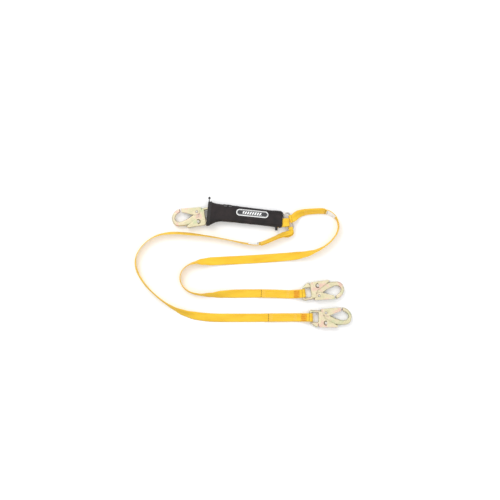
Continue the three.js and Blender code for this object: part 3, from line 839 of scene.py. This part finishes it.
def settle(piece, held, pressure, shrink):
    """Lets the cloth swell and pucker for a moment, with some of its points held."""
    before = [v.co.copy() for v in piece.data.vertices]
    group = piece.vertex_groups.new(name="held")
    for index, weight in held.items():
        group.add([index], weight, "REPLACE")
    cloth = piece.modifiers.new("cloth", "CLOTH")
    cloth.settings.vertex_group_mass = "held"
    cloth.settings.use_pressure = True
    cloth.settings.uniform_pressure_force = pressure
    cloth.settings.shrink_min = shrink
    cloth.settings.quality = 5
    cloth.settings.mass = 0.25
    cloth.settings.tension_stiffness = 12
    cloth.settings.compression_stiffness = 12
    cloth.settings.bending_stiffness = 0.12
    cloth.settings.effector_weights.gravity = 0
    cloth.collision_settings.use_collision = False
    scene = bpy.context.scene
    for frame_number in range(1, SETTLE_FRAMES + 1):
        scene.frame_set(frame_number)
    graph = bpy.context.evaluated_depsgraph_get()
    moved = [v.co.copy() for v in piece.evaluated_get(graph).data.vertices]
    piece.modifiers.clear()
    piece.vertex_groups.clear()
    scene.frame_set(1)
    for vertex, start, end in zip(piece.data.vertices, before, moved):
        step = end - start
        if step.length > MOST_SETTLED:
            step *= MOST_SETTLED / step.length
        vertex.co = start + step


def finish_piece(piece, slot_name, *nodes):
    """Places a piece made in the pack's frame, gives it its body and hides its CAD nodes; slot_name is not
    used.
    """
    piece.data.transform(PACK_PLACE)
    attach(piece, ROOT)
    if nodes:
        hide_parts(*nodes)


def make_sleeve():
    """The nylon sleeve: a tube of cloth over the folded webbing, puckered and held at its ends."""
    along = 92
    around = 96
    rows = []
    for r in range(along + 1):
        x = SLEEVE_START + (SLEEVE_END - SLEEVE_START) * r / along
        rows.append([])
        for c in range(around):
            angle = 2 * math.pi * c / around
            point = sleeve_point(x, angle, slack(x, angle) - 1.1 * MM)
            point.z = max(point.z, 0.4 * MM)
            rows[-1].append(point)
    piece = link_mesh("pack_sleeve", grid_mesh("pack_sleeve", rows), MATERIALS["black"])
    held = {}
    for r in range(along + 1):
        x = rows[r][0].x
        mouth_hold = math.exp(-(((x - SLEEVE_START) / 0.016) ** 4))
        end_hold = math.exp(-(((SLEEVE_END - x) / 0.006) ** 2))
        for c in range(around):
            low = rows[r][c].z < 1.5 * MM
            held[r * around + c] = 1.0 if low else max(mouth_hold, end_hold)
    settle(piece, held, 3.0, 0.03)
    for vertex in piece.data.vertices:
        vertex.co.z = max(vertex.co.z, 0.3 * MM)
    walls = {"thickness": CLOTH_THICK, "offset": -1.0}
    return applied(piece, [("SOLIDIFY", walls), ("SUBSURF", {"levels": 1})])


class Skin:
    """The finished sleeve's outer face, which the pieces on it follow."""

    def __init__(self, piece):
        points = [v.co.copy() for v in piece.data.vertices]
        self.tree = BVHTree.FromPolygons(points, [p.vertices[:] for p in piece.data.polygons])

    def at(self, x, angle, out):
        """A point out from the sleeve's face, at a distance along it and an angle round it."""
        far = sleeve_point(x, angle, 12 * MM)
        inward = (sleeve_point(x, angle, -8 * MM) - far).normalized()
        hit, _, _, _ = self.tree.ray_cast(far, inward)
        return (hit if hit is not None else sleeve_point(x, angle)) - inward * out

    def above(self, x, y, out):
        hit, _, _, _ = self.tree.ray_cast(Vector((x, y, 0.08)), -UP)
        return hit + UP * out

    def angle_where(self, x, low, high, beyond):
        """The angle between low and high at which beyond(point of the form) first fails."""
        for _ in range(24):
            middle = (low + high) / 2
            if beyond(sleeve_point(x, middle)):
                low = middle
            else:
                high = middle
        return low


def shell_mesh(name, outer, inner, material):
    """A closed piece of cloth between two grids of points."""
    rows = [o + n[::-1] for o, n in zip(outer, inner)]
    mesh = grid_mesh(name, rows)
    work = bmesh.new()
    work.from_mesh(mesh)
    work.verts.ensure_lookup_table()
    size = len(rows[0])
    for base in (0, (len(rows) - 1) * size):
        for c in range(size // 2 - 1):
            corners = (c, c + 1, size - 2 - c, size - 1 - c)
            work.faces.new([work.verts[base + k] for k in corners])
    return link_mesh(name, facing_out(work, mesh), material)


def make_hem(skin):
    """The rolled hem round the mouth, gathered by its drawcord."""
    profile = [
        (2.6, 0.1), (2.2, 0.8), (2.9, 1.5), (5, 1.75), (7.7, 1.5), (10.4, 1.75), (12.5, 1.5),
        (13.2, 0.8), (12.9, 0.1),
    ]
    around = 150
    rows = []
    for k in range(around):
        angle = 2 * math.pi * k / around
        gather = 0.35 * MM * math.sin(angle * 26 + 3 * math.sin(angle * 3))
        rows.append([skin.at(x * MM, angle, out * MM + gather) for x, out in profile])
    rows.append(rows[0])
    mesh = grid_mesh("cover_hem_roll", rows)
    work = bmesh.new()
    work.from_mesh(mesh)
    bmesh.ops.remove_doubles(work, verts=work.verts, dist=1e-6)
    hem = link_mesh("cover_hem_roll", facing_out(work, mesh), MATERIALS["black_web"])
    rows = []
    for x in (4.2, 11.2):
        for k in range(40):
            turn = 2 * math.pi * k / 40
            start, end = (skin.at(x * MM, turn + lag, 1.85 * MM) for lag in (0, 0.10))
            rows.append((start, end, start - sleeve_point(x * MM, turn, -8 * MM)))
    seam = stitches("cover_hem_stitching", rows, MATERIALS["black_thread"])
    finish_piece(hem, "black_nylon", "cover_hem")
    finish_piece(seam, "black_nylon")


def make_flap(skin):
    """The closure flap over the sleeve's upper long edge, with its seam and two tacks."""
    start, end = 48 * MM, 227 * MM

    def span(x):
        low = skin.angle_where(x, 0, -math.pi / 2, lambda p: p.z > 7 * MM)
        high = skin.angle_where(x, 0, math.pi / 2, lambda p: p.y > 22.4 * MM)
        return steps(low, high, 26)

    outer, inner = [], []
    for x in steps(start, end, 90):
        edge = min(x - start, end - x, 1.2 * MM) / (1.2 * MM)
        thick = 0.35 * MM + 0.75 * MM * math.sqrt(edge)
        angles = span(x)
        outer.append([])
        for i, angle in enumerate(angles):
            rim = min(i, len(angles) - 1 - i, 2) / 2
            wave = 0.25 * MM * noise.noise(Vector((x * 70, angle * 2, 1.7)))
            outer[-1].append(skin.at(x, angle, 0.3 * MM + thick * (0.45 + 0.55 * rim) + max(wave, 0)))
        inner.append([skin.at(x, angle, 0.12 * MM) for angle in angles])
    flap = shell_mesh("closure_flap_cloth", outer, inner, MATERIALS["black"])
    rows = []
    for inset in (0.05, 0.16):
        x = start + 2 * MM
        while x + 3 * MM < end:
            ends = []
            for along in (x, x + 2.8 * MM):
                angle = span(along)[-1] - inset
                ends.append(skin.at(along, angle, 1.35 * MM))
            rows.append((ends[0], ends[1], UP))
            x += 3.8 * MM
    seam = stitches("closure_flap_stitching", rows, MATERIALS["black_thread"])
    rows = []
    for middle in (55 * MM, 70 * MM):
        for line in range(4):
            for k in range(3):
                x = middle + (k - 1.5) * 3.2 * MM
                y = 26.4 * MM - line * 0.7 * MM
                rows.append((skin.above(x, y, 1.5 * MM), skin.above(x + 3.1 * MM, y, 1.5 * MM), UP))
    tacks = stitches("closure_flap_tacks", rows, MATERIALS["grey_thread"], 0.3 * MM)
    finish_piece(flap, "black_nylon", "closure_flap")
    finish_piece(seam, "black_nylon")
    finish_piece(tacks, "black_nylon")


def motif(along, across):
    """Whether the label is dark there: a dark field inside a pale border, with leaning pale bars."""
    run = max(abs(along) - 39 * MM, 0)
    from_edge = 10 * MM - math.hypot(run, across)
    if from_edge < 2.0 * MM:
        return False
    if 3.0 * MM < from_edge < 3.5 * MM:
        return False
    leaning = (along - 0.45 * across) % (7.4 * MM)
    barred = abs(along) < 29 * MM and abs(across) < 4.2 * MM and leaning < 4.2 * MM
    return not barred


def make_label(skin):
    """The rounded label on the sleeve's top, sewn flat, with a plain motif."""
    centre_x, centre_y = 138.6 * MM, 10.4 * MM
    half_length, half_width = 48.9 * MM, 10 * MM
    along_count, across_count = 180, 36
    outer, inner, flags = [], [], []
    for u in steps(-half_length, half_length, along_count):
        run = max(abs(u) - 39 * MM, 0)
        reach = math.sqrt(max(half_width**2 - run**2, (0.4 * MM) ** 2))
        line = steps(-reach, reach, across_count)
        outer.append([skin.above(centre_x + u, centre_y + v, 0.75 * MM) for v in line])
        inner.append([skin.above(centre_x + u, centre_y + v, 0.15 * MM) for v in line])
        flags.append([motif(u, v) for v in line])
    label = shell_mesh("cover_label_patch", outer, inner, MATERIALS["label"])
    label.data.materials.append(MATERIALS["print"])
    size = 2 * (across_count + 1)
    for face in label.data.polygons:
        row, column = divmod(min(face.vertices), size)
        if column < across_count and max(face.vertices) % size <= across_count and flags[row][column]:
            face.material_index = 1
    finish_piece(label, "white_label", "cover_label")


def tube(name, points, radius, material):
    """A round cord through points."""
    rows = []
    side = None
    for i, point in enumerate(points):
        after = points[min(i + 1, len(points) - 1)]
        before = points[max(i - 1, 0)]
        tangent = (after - before).normalized()
        side = side or tangent.orthogonal()
        side = (side - tangent * tangent.dot(side)).normalized()
        other = tangent.cross(side)
        rows.append([
            point + (side * math.cos(a) + other * math.sin(a)) * radius
            for a in (2 * math.pi * k / CORD_SIDES for k in range(CORD_SIDES))
        ])
    return link_mesh(name, grid_mesh(name, rows, True), material)


def ball_knot(centre, radius):
    """A cord wound into a ball: a sphere with the turns of the cord standing out of it."""
    work = bmesh.new()
    bmesh.ops.create_uvsphere(work, u_segments=48, v_segments=32, radius=radius)
    for vertex in work.verts:
        away = vertex.co.normalized()
        first = math.sin(away.z * 9 + math.atan2(away.y, away.x))
        second = math.sin(away.x * 9 + math.atan2(away.z, away.y))
        vertex.co = centre + away * (radius - 0.45 * MM + 0.45 * MM * max(first, second))
    mesh = bpy.data.meshes.new("drawcord_knot_tied")
    work.to_mesh(mesh)
    work.free()
    return mesh


def make_trim():
    """The drawcord with its knot, and the folded pull tab at the other end."""
    cord_points = [Vector((4, y, 22 + 0.3 * math.sin(y))) * MM for y in steps(35.5, 42.2, 12)]
    cord = tube("hem_drawcord_braid", cord_points, 1.35 * MM, MATERIALS["cord"])
    knot = link_mesh("drawcord_knot_tied", ball_knot(Vector((4, 45, 22)) * MM, 3.9 * MM), MATERIALS["cord"])
    fold = Vector((216, -32.1, 12.2)) * MM
    across = Vector((1, 0, 0))
    places = [
        (8.4, 0.5), (4, 0.5), (1, 0.52), (0.2, 0.5), (-0.35, 0.3), (-0.5, 0),
        (-0.35, -0.3), (0.2, -0.5), (1, -0.52), (4, -0.5), (8.4, -0.5),
    ]
    tab_strip = Strip([(fold + Vector((0, y, z)) * MM, across, 8 * MM) for y, z in places])
    black = MATERIALS["black_web"]
    tab = sweep("side_tab_tape", tab_strip, 0, tab_strip.length, 0.4 * MM, black, thick=0.55 * MM)
    finish_piece(cord, "black_nylon", "hem_drawcord")
    finish_piece(knot, "black_nylon", "drawcord_knot")
    finish_piece(tab, "black_nylon", "side_tab")


def make_inner_webbing():
    """The tear webbing folded to and fro inside the sleeve, and the strap over it."""
    pitch = WEB_THICK + 0.4 * MM
    left, right = 70 * MM + pitch / 2, 180 * MM - pitch / 2
    low = 5.5 * MM + WEB_THICK / 2
    stations = []
    across = Vector((0, 1, 0))
    for run in range(6):
        z = low + run * pitch
        runs = steps(left, right, 5)
        turned = run % 2 == 1
        for x in runs[::-1] if turned else runs:
            stations.append((Vector((x, 4 * MM, z)), across, 34 * MM))
        if run < 5:
            out = -1 if turned else 1
            for degrees in (-55, -18, 18, 55):
                turn = math.radians(degrees)
                bend = Vector((out * math.cos(turn), 0, math.sin(turn))) * (pitch / 2)
                end = left if turned else right
                stations.append((Vector((end, 4 * MM, z + pitch / 2)) + bend, across, 34 * MM))
    folded = Strip(stations)
    yellow = MATERIALS["yellow"]
    tear = sweep("tear_webbing_folds", folded, 0, folded.length, 1.1 * MM, yellow, thick=2.0 * MM)
    places = [(68, 22.6), (100, 23.4), (150, 23.4), (184, 22.6)]
    over = Strip([(Vector((x, 4, z)) * MM, across, WEB_WIDTH) for x, z in places])
    backup = sweep("backup_strap_web", over, 0, over.length, 3 * MM, yellow, thick=2.0 * MM)
    finish_piece(tear, "yellow_webbing", "tear_webbing")
    finish_piece(backup, "yellow_webbing", "backup_strap")


def make_end_loop(name, bar, z, degrees, radius, run, node):
    """One of the absorber's end loops: out of the sleeve, round a bar, and back."""
    direction = heading(degrees)
    stations = round_bar(bar, z, direction, radius, WEB_WIDTH)
    across = stations[0][1]

    def back(s, height):
        return (Vector((*bar, height)) + direction * s, across, WEB_WIDTH)

    middle = radius + WEB_THICK / 2
    start = [back(-run, 13 * MM), back(-run + 12 * MM, 13.4 * MM), back(-12 * MM, z + middle - 1 * MM)]
    end = [back(-12 * MM, z - middle + 0.6 * MM), back(-run + 12 * MM, 9.8 * MM), back(-run, 10 * MM)]
    strip = Strip([*start, *stations, *end])
    loop = sweep(name, strip, 0, strip.length, 1.2 * MM, MATERIALS["yellow"])
    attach(loop, ROOT)
    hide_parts(node)


def make_pack():
    sleeve = make_sleeve()
    skin = Skin(sleeve)
    finish_piece(sleeve, "black_nylon", "pack_cover")
    make_hem(skin)
    make_flap(skin)
    make_label(skin)
    make_trim()
    make_inner_webbing()
    make_end_loop("harness_end_loop", HARNESS_EYE, HARNESS_HOOK_Z, 185, LOOP_R, 42 * MM, "harness_loop")
    make_end_loop("ring_end_loop", RING_NEAR_SIDE, RING_Z, 4, RING_SLACK_R, 30 * MM, "ring_loop")


def build():
    add_camera()
    make_leg("lower", LOWER_LEG_ROUTE, RING_LOW_END, 104, RING_SLACK_R, NARROW, LOWER_EYE, 0)
    make_leg("upper", UPPER_LEG_ROUTE, RING_FAR_SIDE, 197, RING_LOOP_R, BROAD, UPPER_EYE, 6)
    make_pack()
    add_surroundings()
    refined("connecting_ring", "connecting_ring_wire", MATERIALS["ring"], ROOT, 0.5 * MM, 4)
    for prefix in ("lower_hook", "upper_hook", "harness_hook"):
        make_hook(prefix)


build()
